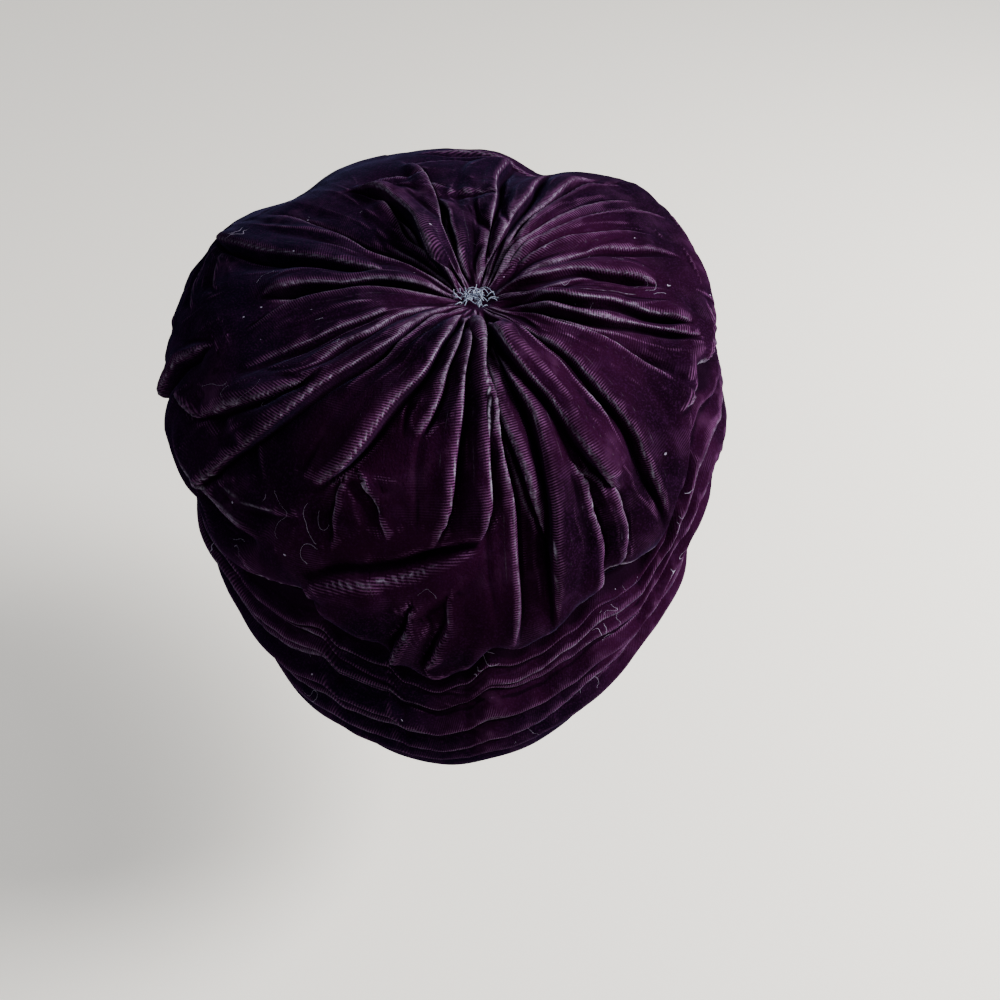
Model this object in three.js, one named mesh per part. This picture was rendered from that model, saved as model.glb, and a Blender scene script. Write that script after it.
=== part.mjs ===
// Draped velvet turban: a gathered crown puffed over three wrapped band swathes.
// Millimetres, +Z up, wearer's front towards +Y, origin in the middle of the head opening.
// Angles run anticlockwise seen from above: 0 the wearer's right, 90 the front, 270 the nape.
// Reach is the way down the outside: 0 at the gathered middle, RIM_REACH at the head opening.
import * as THREE from 'three';

const CLOTH = 2.2;            // crown wall: velvet and its backing
const SWATHE_CLOTH = 1.8;     // wall of one band swathe
const CROWN_COLUMNS = 92;
const SWATHE_COLUMNS = 52;
const RIM_REACH = 1.55;
const REACH_PER_MM = 1 / 175; // one millimetre of cloth down the outside
const SKIRT_DEPTH = 12.0;     // how far the crown's hidden skirt lies inside the outline
const LIP_PUFF = 2.0;         // how far the crown swells just above its lower edge
const PLEAT_COUNT = 18;       // small gathers around the middle
const PLEAT_RISE = 1.1;
const KNOT_SIZE = { x: 4.6, y: 3.8, z: 1.9 };
const KNOT_LIFT = 3.4;        // knot's middle above the bottom of the dimple
const DEGREE = Math.PI / 180;
const STEP = 0.004;           // small step for slopes of the outline

// Outline rings: half widths to each side, height of the ring's middle, rise towards the front.
const RINGS = [
  { reach: 0.00, right: 1, left: 1, back: 1, front: 1, height: 138, tilt: 0, cx: 10, cy: -8 },
  { reach: 0.08, right: 12, left: 12, back: 12, front: 12, height: 143, tilt: 0, cx: 10, cy: -8 },
  { reach: 0.30, right: 46, left: 46, back: 42, front: 45, height: 148, tilt: 2, cx: 7, cy: -3 },
  { reach: 0.50, right: 78, left: 79, back: 70, front: 76, height: 141, tilt: 5, cx: 2, cy: 5 },
  { reach: 0.68, right: 101, left: 101, back: 93, front: 100, height: 127, tilt: 9, cx: 0, cy: 8 },
  { reach: 0.82, right: 111, left: 110, back: 106, front: 111, height: 106, tilt: 13, cx: -1, cy: 8 },
  { reach: 0.93, right: 111, left: 110, back: 111, front: 112, height: 84, tilt: 19, cx: 0, cy: 5 },
  { reach: 1.00, right: 108, left: 107, back: 111, front: 111, height: 73, tilt: 22, cx: 0, cy: 4 },
  { reach: 1.28, right: 100, left: 99, back: 113, front: 111, height: 35, tilt: 28, cx: 0, cy: 2 },
  { reach: 1.45, right: 91, left: 90, back: 108, front: 106, height: 12, tilt: 32, cx: 0, cy: 1 },
  { reach: 1.55, right: 84, left: 84, back: 101, front: 100, height: -2, tilt: 34, cx: 0, cy: 0 },
];

// Lower edge of the crown round the head: it hangs low at the nape and rides up at the sides.
const LIP = [
  { angle: 0, reach: 0.7 },
  { angle: 30, reach: 0.76 },
  { angle: 60, reach: 0.8 },
  { angle: 90, reach: 0.84 },
  { angle: 140, reach: 0.82 },
  { angle: 180, reach: 0.84 },
  { angle: 205, reach: 0.87 },
  { angle: 221, reach: 0.94 },
  { angle: 242, reach: 0.9 },
  { angle: 256, reach: 0.975 },
  { angle: 267, reach: 1.06 },
  { angle: 279, reach: 0.97 },
  { angle: 288, reach: 0.97 },
  { angle: 303, reach: 0.89 },
  { angle: 313, reach: 0.9 },
  { angle: 322, reach: 0.78 },
  { angle: 333, reach: 0.67 },
  { angle: 346, reach: 0.69 },
];

// Places where the whole hat swells or sinks: how far in mm, and how wide in angle and reach.
const BULGES = [
  { angle: 134, reach: 0.72, rise: -7.0, angleWidth: 12, reachWidth: 0.16 },
  { angle: 206, reach: 1.0, rise: 6.0, angleWidth: 12, reachWidth: 0.18 },
  { angle: 36, reach: 0.74, rise: 3.0, angleWidth: 10, reachWidth: 0.15 },
  { angle: 12, reach: 1.0, rise: -5.0, angleWidth: 14, reachWidth: 0.3 },
  { angle: 68, reach: 0.68, rise: -8.0, angleWidth: 8, reachWidth: 0.16 },
  { angle: 336, reach: 1.2, rise: 4.0, angleWidth: 12, reachWidth: 0.25 },
  { angle: 228, reach: 1.24, rise: 5.0, angleWidth: 24, reachWidth: 0.24 },
  { angle: 312, reach: 1.24, rise: 1.5, angleWidth: 20, reachWidth: 0.26 },
];

// Pleats running out from the gathered middle.
const PLEATS = [
  { from: 289, via: 297, to: 306, start: 0.18, end: 0.76, rise: 6.0, half: 5.5 },
  { from: 302, via: 311, to: 316, start: 0.24, end: 0.86, rise: 3.5, half: 5.5 },
  { from: 326, via: 334, to: 344, start: 0.20, end: 0.64, rise: 3.5, half: 6.0 },
  { from: 338, via: 344, to: 350, start: 0.28, end: 0.62, rise: 4.5, half: 8.0 },
  { from: 20, via: 5, to: 358, start: 0.12, end: 0.52, rise: 4.0, half: 6.5 },
  { from: 46, via: 33, to: 25, start: 0.14, end: 0.60, rise: 3.5, half: 5.5 },
  { from: 66, via: 54, to: 42, start: 0.14, end: 0.66, rise: 3.5, half: 5.5 },
  { from: 82, via: 75, to: 68, start: 0.14, end: 0.60, rise: 4.0, half: 5.5 },
  { from: 104, via: 100, to: 104, start: 0.14, end: 0.34, rise: 5.0, half: 5.0 },
  { from: 120, via: 110, to: 107, start: 0.14, end: 0.50, rise: 6.0, half: 5.0 },
  { from: 150, via: 119, to: 127, start: 0.10, end: 0.47, rise: 7.5, half: 5.0 },
  { from: 182, via: 166, to: 156, start: 0.32, end: 0.70, rise: 5.0, half: 7.0 },
  { from: 182, via: 182, to: 190, start: 0.12, end: 0.47, rise: 4.5, half: 6.5 },
  { from: 205, via: 222, to: 224, start: 0.16, end: 0.52, rise: 3.0, half: 5.5 },
  { from: 230, via: 222, to: 206, start: 0.44, end: 0.74, rise: 6.0, half: 7.5 },
  { from: 199, via: 194, to: 191, start: 0.62, end: 0.86, rise: 3.5, half: 5.5 },
  { from: 222, via: 233, to: 211, start: 0.14, end: 0.87, rise: 5.0, half: 6.0 },
  { from: 254, via: 254, to: 245, start: 0.16, end: 0.71, rise: 6.0, half: 5.5 },
  { from: 250, via: 262, to: 263, start: 0.12, end: 0.58, rise: 4.0, half: 4.5 },
  { from: 264, via: 270, to: 268, start: 0.20, end: 0.80, rise: 5.0, half: 4.5 },
  { from: 268, via: 276, to: 276, start: 0.12, end: 0.80, rise: 5.5, half: 4.5 },
  { from: 277, via: 283, to: 283, start: 0.34, end: 0.95, rise: 4.5, half: 4.5 },
  { from: 284, via: 292, to: 292, start: 0.34, end: 0.93, rise: 5.0, half: 5.0 },
];

// Folds that run round the crown instead of out from its middle.
const SWAGS = [
  { from: 249, to: 277, start: 0.88, end: 0.79, rise: 5.0, half: 5.0 },
  { from: 158, to: 188, start: 0.82, end: 0.80, rise: 3.5, half: 4.5 },
  { from: 160, to: 186, start: 0.68, end: 0.66, rise: 3.5, half: 4.5 },
  { from: 88, to: 124, start: 0.34, end: 0.44, rise: 3.0, half: 5.0 },
  { from: 90, to: 106, start: 0.76, end: 0.74, rise: 6.0, half: 6.0 },
];

// Band swathes: share of the way from the crown's edge (0) to the head opening (1).
const SWATHES = [
  { name: 'band_upper', top: 0.03, bottom: 0.42, sway: 0.05, phase: 50, ridge: 2.0 },
  { name: 'band_middle', top: 0.33, bottom: 0.74, sway: 0.05, phase: 50, ridge: 2.4 },
  { name: 'band_lower', top: 0.66, bottom: 1.00, sway: 0.05, phase: 50, ridge: 1.8 },
];

// Section of a swathe from its tucked top edge to its rolled lower edge.
const SWATHE_SECTION = [
  { share: 0.00, depth: 8.6 },
  { share: 0.22, depth: 6.4 },
  { share: 0.40, depth: 3.0 },
  { share: 0.58, depth: 4.4 },
  { share: 0.82, depth: 1.2 },
  { share: 1.00, depth: 3.2 },
];

// Crown rows as shares of the way to its lower edge, outside face.
const CROWN_SHARES = [0.07, 0.15, 0.25, 0.37, 0.50, 0.63, 0.76, 0.88];

// Rows of the crown's turned-under edge: millimetres below the edge, and depth inside the outline.
const EDGE_ROWS = [
  { below: -5, depth: -LIP_PUFF, fold: 1 },
  { below: 0, depth: 0.6, fold: 0.5 },
  { below: -2, depth: 5.6, fold: 0 },
  { below: 1, depth: 10.6, fold: 0 },
  { below: 8, depth: SKIRT_DEPTH, fold: 0 },
];
const SKIRT_SHARES = [0.45, 0.8, 1];

const VELVET = new THREE.MeshStandardMaterial({ color: 0x2a0a2b, roughness: 0.85 });
const THREAD = new THREE.MeshStandardMaterial({ color: 0xa8b4cc, roughness: 0.9 });

function smooth(t) {
  const c = Math.min(1, Math.max(0, t));
  return c * c * (3 - 2 * c);
}

function hermite(t, a, b, slopeA, slopeB) {
  const t2 = t * t;
  const t3 = t2 * t;
  return (2 * t3 - 3 * t2 + 1) * a + (t3 - 2 * t2 + t) * slopeA
    + (3 * t2 - 2 * t3) * b + (t3 - t2) * slopeB;
}

function slopeAt(index, key) {
  const before = RINGS[Math.max(0, index - 1)];
  const after = RINGS[Math.min(RINGS.length - 1, index + 1)];
  return (after[key] - before[key]) / (after.reach - before.reach);
}

function ringValue(reach, key) {
  let i = 0;
  while (i < RINGS.length - 2 && reach > RINGS[i + 1].reach) i += 1;
  const a = RINGS[i];
  const b = RINGS[i + 1];
  const span = b.reach - a.reach;
  const t = (reach - a.reach) / span;
  return hermite(t, a[key], b[key], slopeAt(i, key) * span, slopeAt(i + 1, key) * span);
}

// Smooth outline of the whole hat at an angle and a reach.
function outline(angle, reach) {
  const c = Math.cos(angle * DEGREE);
  const s = Math.sin(angle * DEGREE);
  const across = ringValue(reach, c > 0 ? 'right' : 'left');
  const along = ringValue(reach, s > 0 ? 'front' : 'back');
  return new THREE.Vector3(
    ringValue(reach, 'cx') + across * c,
    ringValue(reach, 'cy') + along * s,
    ringValue(reach, 'height') + ringValue(reach, 'tilt') * s,
  );
}

function outward(angle, reach) {
  const low = Math.max(0.02, reach - STEP);
  const down = outline(angle, low + 2 * STEP).sub(outline(angle, low));
  const turn = outline(angle + 1, low + STEP).sub(outline(angle - 1, low + STEP));
  return down.cross(turn).normalize();
}

function lipReach(angle) {
  const a = ((angle % 360) + 360) % 360;
  let i = LIP.length - 1;
  while (LIP[i].angle > a) i -= 1;
  const next = LIP[(i + 1) % LIP.length];
  const span = (next.angle - LIP[i].angle + 360) % 360;
  return LIP[i].reach + (next.reach - LIP[i].reach) * smooth((a - LIP[i].angle) / span);
}

function turnBetween(a, b) {
  return ((a - b + 540) % 360) - 180;
}

function bump(u) {
  return Math.exp(-0.8 * u * u * u * u);
}

function fadeEnds(t) {
  return smooth(t / 0.25) * smooth((1 - t) / 0.12);
}

// Angle of a pleat part way along it, curving through its middle angle.
function pleatAngle(pleat, t) {
  const first = turnBetween(pleat.from, pleat.via);
  const last = turnBetween(pleat.to, pleat.via);
  return pleat.via + first * (1 - t) * (1 - 2 * t) + last * t * (2 * t - 1);
}

function pleatRise(pleat, angle, reach, radius) {
  const t = (reach - pleat.start) / (pleat.end - pleat.start);
  if (t <= 0 || t >= 1) return 0;
  const across = turnBetween(angle, pleatAngle(pleat, t)) * DEGREE * radius;
  const half = pleat.half * (0.55 + 0.45 * smooth(t * 2));
  return pleat.rise * fadeEnds(t) * bump(across / half);
}

function swagRise(swag, angle, reach) {
  const t = turnBetween(angle, swag.from) / (swag.to - swag.from);
  if (t <= 0 || t >= 1) return 0;
  const middle = swag.start + (swag.end - swag.start) * t;
  const across = (reach - middle) / REACH_PER_MM;
  return swag.rise * smooth(t / 0.3) * smooth((1 - t) / 0.3) * bump(across / swag.half);
}

function gatherRise(angle, reach) {
  const fade = smooth((reach - 0.05) / 0.06) * smooth((0.45 - reach) / 0.3);
  return PLEAT_RISE * fade * Math.cos(PLEAT_COUNT * angle * DEGREE);
}

// Height of all folds over the smooth outline; neighbours merge instead of piling up.
function foldRise(angle, reach) {
  const radius = (ringValue(reach, 'right') + ringValue(reach, 'back')) / 2;
  let total = 0;
  for (const pleat of PLEATS) {
    total = Math.max(total, pleatRise(pleat, angle, reach, radius));
  }
  for (const swag of SWAGS) {
    total = Math.max(total, swagRise(swag, angle, reach));
  }
  return total + gatherRise(angle, reach) - 1.5 * smooth((reach - 0.1) / 0.2);
}

function crownRow(angle, reach, depth, fold) {
  return { angle, reach, rise: fold * foldRise(angle, reach) - depth };
}

// Rows down one column of the crown, from beside the middle to the head opening.
function crownColumn(angle) {
  const lip = lipReach(angle);
  const rows = CROWN_SHARES.map((share) => crownRow(angle, lip * share, 0, 1));
  for (const row of EDGE_ROWS) {
    rows.push(crownRow(angle, lip + row.below * REACH_PER_MM, row.depth, row.fold));
  }
  const top = lip + 8 * REACH_PER_MM;
  for (const share of SKIRT_SHARES) {
    rows.push(crownRow(angle, top + (RIM_REACH - top) * share, SKIRT_DEPTH, 0));
  }
  return rows;
}

// How far the whole hat swells at an angle and a reach.
function bulge(angle, reach) {
  let total = 0;
  for (const place of BULGES) {
    const round = turnBetween(angle, place.angle) / place.angleWidth;
    const down = (reach - place.reach) / place.reachWidth;
    total += place.rise * Math.exp(-round * round - down * down);
  }
  return total;
}

function placed(row) {
  const rise = row.rise + bulge(row.angle, row.reach);
  return outline(row.angle, row.reach).addScaledVector(outward(row.angle, row.reach), rise);
}

// A grid point moved inwards by the wall, square to the surface there.
function offsetPoint(grid, column, row, wall) {
  const columns = grid.length;
  const rows = grid[0].length;
  const up = grid[column][Math.max(0, row - 1)];
  const down = grid[column][Math.min(rows - 1, row + 1)];
  const before = grid[(column + columns - 1) % columns][row];
  const after = grid[(column + 1) % columns][row];
  const normal = down.clone().sub(up).cross(after.clone().sub(before)).normalize();
  return grid[column][row].clone().addScaledVector(normal, -wall);
}

function pushPoint(positions, p) {
  positions.push(p.x, p.y, p.z);
}

function indexedGeometry(positions, indices) {
  const geometry = new THREE.BufferGeometry();
  geometry.setAttribute('position', new THREE.Float32BufferAttribute(positions, 3));
  geometry.setIndex(indices);
  geometry.computeVertexNormals();
  return geometry;
}

function crownGrid() {
  const grid = [];
  for (let column = 0; column < CROWN_COLUMNS; column += 1) {
    grid.push(crownColumn((column * 360) / CROWN_COLUMNS).map(placed));
  }
  return grid;
}

function smoothGrid() {
  const grid = [];
  for (let column = 0; column < CROWN_COLUMNS; column += 1) {
    const rows = crownColumn((column * 360) / CROWN_COLUMNS);
    const plain = rows.map((row, i) => ({ ...row, rise: i < CROWN_SHARES.length ? 0 : row.rise }));
    grid.push(plain.map(placed));
  }
  return grid;
}

// The lining side follows every fold, one cloth thickness inside.
function liningGrid(outer) {
  const plain = smoothGrid();
  return outer.map((column, i) => column.map((point, j) => {
    const shift = offsetPoint(plain, i, j, CLOTH).sub(plain[i][j]);
    return point.clone().add(shift);
  }));
}

function stitchRows(indices, lower, upper, columns) {
  for (let i = 0; i < columns; i += 1) {
    const j = (i + 1) % columns;
    indices.push(upper + i, lower + i, lower + j);
    indices.push(upper + i, lower + j, upper + j);
  }
}

function crownGeometry() {
  const outer = crownGrid();
  const inner = liningGrid(outer);
  const rows = outer[0].length;
  const middle = outline(0, 0);
  middle.x = RINGS[0].cx;
  const positions = [];
  const indices = [];
  pushPoint(positions, middle);
  const layers = [];
  for (let j = 0; j < rows; j += 1) layers.push(outer.map((column) => column[j]));
  for (let j = rows - 1; j >= 0; j -= 1) layers.push(inner.map((column) => column[j]));
  layers.forEach((layer) => layer.forEach((point) => pushPoint(positions, point)));
  for (let k = 0; k + 1 < layers.length; k += 1) {
    const upper = 1 + k * CROWN_COLUMNS;
    stitchRows(indices, upper + CROWN_COLUMNS, upper, CROWN_COLUMNS);
  }
  const last = 1 + layers.length * CROWN_COLUMNS;
  pushPoint(positions, middle.clone().setZ(middle.z - CLOTH));
  for (let i = 0; i < CROWN_COLUMNS; i += 1) {
    const j = (i + 1) % CROWN_COLUMNS;
    indices.push(0, 1 + i, 1 + j);
    indices.push(last, last - CROWN_COLUMNS + j, last - CROWN_COLUMNS + i);
  }
  return indexedGeometry(positions, indices);
}

// One wavy section of a swathe at an angle, outside face first and back up the inside.
function swatheSection(swathe, angle) {
  const lip = lipReach(angle) + 4 * REACH_PER_MM;
  const sway = swathe.sway * Math.sin((angle - swathe.phase) * DEGREE);
  const top = swathe.top + (swathe.top > 0.1 ? sway : 0);
  const bottom = swathe.bottom + (swathe.bottom < 1 ? sway : 0);
  const ripple = swathe.ridge * 0.5 * Math.sin(3 * angle * DEGREE + swathe.phase);
  const outer = SWATHE_SECTION.map((point) => {
    const share = top + (bottom - top) * point.share;
    const crest = Math.sin(Math.PI * point.share) * ripple;
    return { reach: lip + (RIM_REACH - lip) * share, rise: crest * 0.5 - point.depth };
  });
  return outer.map((point) => placed({ angle, ...point }));
}

function swatheGeometry(swathe) {
  const grid = [];
  for (let column = 0; column < SWATHE_COLUMNS; column += 1) {
    grid.push(swatheSection(swathe, (column * 360) / SWATHE_COLUMNS));
  }
  const rows = grid[0].length;
  const inner = grid.map((column, i) => column.map((_, j) => offsetPoint(grid, i, j, SWATHE_CLOTH)));
  const positions = [];
  const indices = [];
  const layers = [];
  for (let j = 0; j < rows; j += 1) layers.push(grid.map((column) => column[j]));
  for (let j = rows - 1; j >= 0; j -= 1) layers.push(inner.map((column) => column[j]));
  layers.forEach((layer) => layer.forEach((point) => pushPoint(positions, point)));
  for (let k = 0; k < layers.length; k += 1) {
    const next = ((k + 1) % layers.length) * SWATHE_COLUMNS;
    stitchRows(indices, next, k * SWATHE_COLUMNS, SWATHE_COLUMNS);
  }
  return indexedGeometry(positions, indices);
}

function knotGeometry() {
  const geometry = new THREE.SphereGeometry(1, 14, 8);
  geometry.rotateX(Math.PI / 2);
  geometry.scale(KNOT_SIZE.x, KNOT_SIZE.y, KNOT_SIZE.z);
  geometry.translate(RINGS[0].cx, RINGS[0].cy, RINGS[0].height + KNOT_LIFT);
  return geometry;
}

function addPiece(group, name, geometry, material) {
  const mesh = new THREE.Mesh(geometry, material);
  mesh.name = name;
  group.add(mesh);
}

const turban = new THREE.Group();
turban.name = 'turban';
addPiece(turban, 'crown', crownGeometry(), VELVET);
for (const swathe of SWATHES) {
  addPiece(turban, swathe.name, swatheGeometry(swathe), VELVET);
}
addPiece(turban, 'gather_knot', knotGeometry(), THREAD);

export default turban;
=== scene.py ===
"""Draped velvet turban: gathered crown, three wrapped band swathes and a worn thread knot."""
import math

import bpy
import numpy as np
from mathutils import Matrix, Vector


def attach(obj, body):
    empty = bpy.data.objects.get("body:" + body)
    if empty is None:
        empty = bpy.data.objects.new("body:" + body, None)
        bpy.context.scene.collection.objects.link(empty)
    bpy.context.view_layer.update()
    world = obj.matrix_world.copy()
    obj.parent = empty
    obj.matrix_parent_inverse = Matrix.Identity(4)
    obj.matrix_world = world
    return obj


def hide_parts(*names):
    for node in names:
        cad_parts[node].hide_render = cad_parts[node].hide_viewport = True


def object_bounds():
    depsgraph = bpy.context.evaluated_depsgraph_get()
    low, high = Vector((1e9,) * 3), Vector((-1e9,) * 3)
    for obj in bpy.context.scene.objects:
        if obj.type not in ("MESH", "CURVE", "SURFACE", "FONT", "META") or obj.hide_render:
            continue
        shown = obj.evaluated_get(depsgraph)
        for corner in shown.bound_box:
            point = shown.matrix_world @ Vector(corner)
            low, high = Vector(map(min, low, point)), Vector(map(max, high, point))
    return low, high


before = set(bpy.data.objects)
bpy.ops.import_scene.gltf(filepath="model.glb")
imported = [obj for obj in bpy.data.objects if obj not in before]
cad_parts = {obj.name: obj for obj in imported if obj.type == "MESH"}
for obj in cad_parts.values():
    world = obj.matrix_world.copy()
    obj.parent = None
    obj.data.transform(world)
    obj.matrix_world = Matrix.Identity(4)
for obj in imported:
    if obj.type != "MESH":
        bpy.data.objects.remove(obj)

bl_info = {
    "name": "Draped velvet turban",
    "version": (1, 0, 0),
    "blender": (4, 5, 0),
    "location": "3D View > Sidebar > Turban",
    "description": "Builds a draped velvet turban around its packed frame",
    "category": "Object",
}

CAD_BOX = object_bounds()
MM = 0.001
RIM_REACH = 1.55
REACH_PER_MM = 1 / 175

# Outline rings in millimetres, the same as the frame's: half widths, height, rise to the front.
RING_KEYS = ("reach", "right", "left", "back", "front", "height", "tilt", "cx", "cy")
RINGS = np.array([
    (0.00, 1, 1, 1, 1, 138, 0, 10, -8),
    (0.08, 12, 12, 12, 12, 143, 0, 10, -8),
    (0.30, 46, 46, 42, 45, 148, 2, 7, -3),
    (0.50, 78, 79, 70, 76, 141, 5, 2, 5),
    (0.68, 101, 101, 93, 100, 127, 9, 0, 8),
    (0.82, 111, 110, 106, 111, 106, 13, -1, 8),
    (0.93, 111, 110, 111, 112, 84, 19, 0, 5),
    (1.00, 108, 107, 111, 111, 73, 22, 0, 4),
    (1.28, 100, 99, 113, 111, 35, 28, 0, 2),
    (1.45, 91, 90, 108, 106, 12, 32, 0, 1),
    (1.55, 84, 84, 101, 100, -2, 34, 0, 0),
], dtype=float)

# Lower edge of the crown: angle round the head, reach down the outside.
LIP = (
    (0, 0.70), (30, 0.76), (60, 0.80), (90, 0.84), (140, 0.82), (180, 0.84), (205, 0.87),
    (212, 0.89), (221, 0.95), (232, 0.93), (242, 0.895), (246, 0.945), (256, 0.975),
    (260, 1.03), (267, 1.065), (273, 1.03), (279, 0.965), (284, 0.98), (289, 0.965),
    (296, 0.925), (303, 0.885), (309, 0.90), (314, 0.905), (319, 0.84), (324, 0.75),
    (330, 0.68), (336, 0.66), (345, 0.69),
)

# Places where the whole hat swells or sinks: how far in mm, and how wide in angle and reach.
BULGES = (
    (134, 0.72, -7.0, 12, 0.16), (206, 1.00, 6.0, 12, 0.18),
    (36, 0.74, 3.0, 10, 0.15), (12, 1.00, -5.0, 14, 0.30),
    (68, 0.68, -8.0, 8, 0.16), (336, 1.20, 4.0, 12, 0.25),
    (228, 1.24, 5.0, 24, 0.24), (312, 1.24, 1.5, 20, 0.26),
)

# Pleats from the gathered middle. side: +1 hangs over its anticlockwise neighbour, -1 the other
# way. depth: the dark valley beside the hanging side. gentle: how far the other flank spreads.
PLEAT_KEYS = ("start_angle", "mid_angle", "end_angle", "start", "end", "rise", "half", "side",
              "depth", "gentle", "fade")
PLEATS = (
    (289, 296, 306, 0.16, 0.78, 8.0, 5.0, -1, 5.0, 2.0, 0.05),
    (297, 303, 309, 0.24, 0.72, 3.0, 2.6, 1, 1.5, 1.5, 0.20),
    (304, 311, 316, 0.20, 0.90, 4.0, 4.0, -1, 2.0, 2.4, 0.10),
    (312, 322, 327, 0.16, 0.74, 2.6, 4.0, 1, 1.2, 2.4, 0.20),
    (326, 335, 344, 0.18, 0.66, 4.5, 4.2, -1, 2.0, 2.6, 0.10),
    (340, 343, 347, 0.18, 0.62, 6.0, 5.0, -1, 3.5, 2.2, 0.08),
    (352, 350, 352, 0.14, 0.60, 2.2, 3.0, -1, 1.4, 2.4, 0.25),
    (20, 7, 358, 0.10, 0.52, 4.6, 4.0, -1, 3.0, 2.0, 0.15),
    (32, 19, 12, 0.10, 0.62, 3.0, 3.0, -1, 2.0, 2.0, 0.25),
    (42, 27, 19, 0.10, 0.56, 3.8, 3.0, 1, 2.6, 1.9, 0.25),
    (50, 35, 27, 0.10, 0.68, 4.2, 3.2, 1, 2.6, 1.9, 0.25),
    (57, 43, 35, 0.10, 0.60, 3.6, 2.8, 1, 2.6, 1.9, 0.30),
    (64, 50, 43, 0.10, 0.70, 3.8, 3.0, 1, 2.4, 2.0, 0.25),
    (71, 58, 51, 0.10, 0.66, 4.0, 3.2, -1, 2.6, 2.0, 0.25),
    (80, 69, 62, 0.10, 0.60, 4.5, 3.8, -1, 2.5, 2.0, 0.25),
    (88, 80, 75, 0.10, 0.72, 4.5, 4.2, -1, 2.5, 2.2, 0.20),
    (104, 98, 103, 0.12, 0.36, 5.5, 3.6, 1, 4.5, 1.5, 0.16),
    (122, 110, 107, 0.12, 0.56, 5.5, 3.8, -1, 4.5, 1.7, 0.22),
    (150, 119, 127, 0.10, 0.46, 10.0, 3.8, 1, 5.5, 1.3, 0.10),
    (146, 134, 126, 0.16, 0.42, 3.6, 3.2, -1, 2.5, 1.8, 0.20),
    (166, 158, 150, 0.16, 0.60, 4.0, 4.6, -1, 2.4, 2.2, 0.20),
    (176, 168, 156, 0.20, 0.72, 6.5, 5.0, 1, 4.0, 2.0, 0.10),
    (182, 182, 190, 0.10, 0.47, 6.0, 4.0, 1, 4.0, 2.2, 0.08),
    (192, 198, 204, 0.12, 0.56, 3.8, 4.0, -1, 2.4, 2.0, 0.20),
    (205, 222, 224, 0.14, 0.54, 3.6, 3.6, 1, 2.2, 2.0, 0.15),
    (214, 214, 213, 0.20, 0.70, 3.0, 4.0, 1, 2.0, 2.4, 0.30),
    (230, 222, 206, 0.44, 0.76, 7.0, 6.0, 1, 4.0, 1.8, 0.12),
    (201, 195, 190, 0.60, 0.87, 5.5, 4.6, 1, 5.0, 1.4, 0.08),
    (222, 233, 211, 0.12, 0.90, 6.5, 4.4, 1, 3.6, 2.6, 0.05),
    (238, 242, 240, 0.12, 0.52, 2.6, 3.0, -1, 1.5, 2.0, 0.25),
    (252, 254, 245, 0.14, 0.72, 8.0, 4.6, 1, 6.0, 1.6, 0.04),
    (256, 263, 263, 0.12, 0.58, 5.5, 3.2, 1, 4.5, 1.6, 0.06),
    (252, 258, 261, 0.64, 0.79, 3.2, 3.0, -1, 1.6, 1.8, 0.30),
    (250, 251, 249, 0.66, 0.84, 2.4, 3.4, -1, 1.2, 2.0, 0.35),
    (264, 270, 268, 0.16, 0.80, 6.0, 3.8, 1, 3.0, 1.7, 0.05),
    (270, 276, 276, 0.10, 0.80, 7.0, 3.8, 1, 4.0, 1.5, 0.04),
    (276, 281, 282, 0.30, 0.97, 5.5, 3.4, 1, 3.0, 1.6, 0.10),
    (272, 283, 292, 0.14, 0.85, 4.0, 3.0, -1, 2.0, 1.8, 0.10),
    (284, 292, 291, 0.26, 0.95, 6.5, 4.2, -1, 5.0, 1.6, 0.08),
    (295, 298, 298, 0.62, 0.95, 4.5, 3.0, 1, 3.0, 1.6, 0.10),
    (301, 304, 303, 0.66, 0.92, 3.2, 3.0, 1, 2.0, 1.8, 0.20),
    (266, 262, 260, 0.86, 1.03, 4.5, 3.6, -1, 3.5, 1.8, 0.20),
    (272, 270, 266, 0.84, 1.03, 4.0, 3.6, -1, 2.5, 1.8, 0.20),
)

# Folds that run round the crown. side +1 hangs over the cloth below it.
SWAG_KEYS = ("start_angle", "end_angle", "start", "end", "rise", "half", "side", "depth",
             "gentle")
SWAGS = (
    (238, 280, 0.900, 0.785, 5.5, 4.6, -1, 10.0, 1.8),
    (156, 190, 0.83, 0.80, 4.5, 3.2, 1, 3.5, 1.6),
    (158, 188, 0.75, 0.73, 4.5, 3.2, 1, 3.0, 1.6),
    (160, 186, 0.67, 0.65, 4.0, 3.0, 1, 3.0, 1.6),
    (162, 184, 0.60, 0.57, 3.0, 2.6, 1, 2.0, 1.6),
    (92, 128, 0.34, 0.46, 4.0, 3.2, 1, 2.5, 1.8),
    (66, 106, 0.36, 0.34, 3.2, 2.8, -1, 2.0, 1.8),
    (78, 112, 0.52, 0.47, 2.4, 3.4, 1, 1.6, 2.0),
    (60, 104, 0.64, 0.60, 3.4, 4.0, -1, 2.0, 2.0),
    (88, 108, 0.74, 0.73, 2.2, 4.0, 1, 1.0, 2.4),
    (30, 70, 0.66, 0.70, 4.0, 4.0, 1, 3.0, 2.0),
    (320, 358, 0.685, 0.630, 6.0, 4.0, 1, 2.0, 2.4),
    (202, 238, 0.795, 0.835, 4.5, 8.0, 1, 14.0, 2.0),
    (198, 216, 0.755, 0.700, 5.0, 3.0, 1, 4.0, 1.6),
    (222, 252, 0.905, 0.880, 3.0, 3.0, 1, 3.0, 2.0),
    (214, 246, 0.80, 0.76, 2.4, 4.0, 1, 1.6, 4.0),
)

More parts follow.
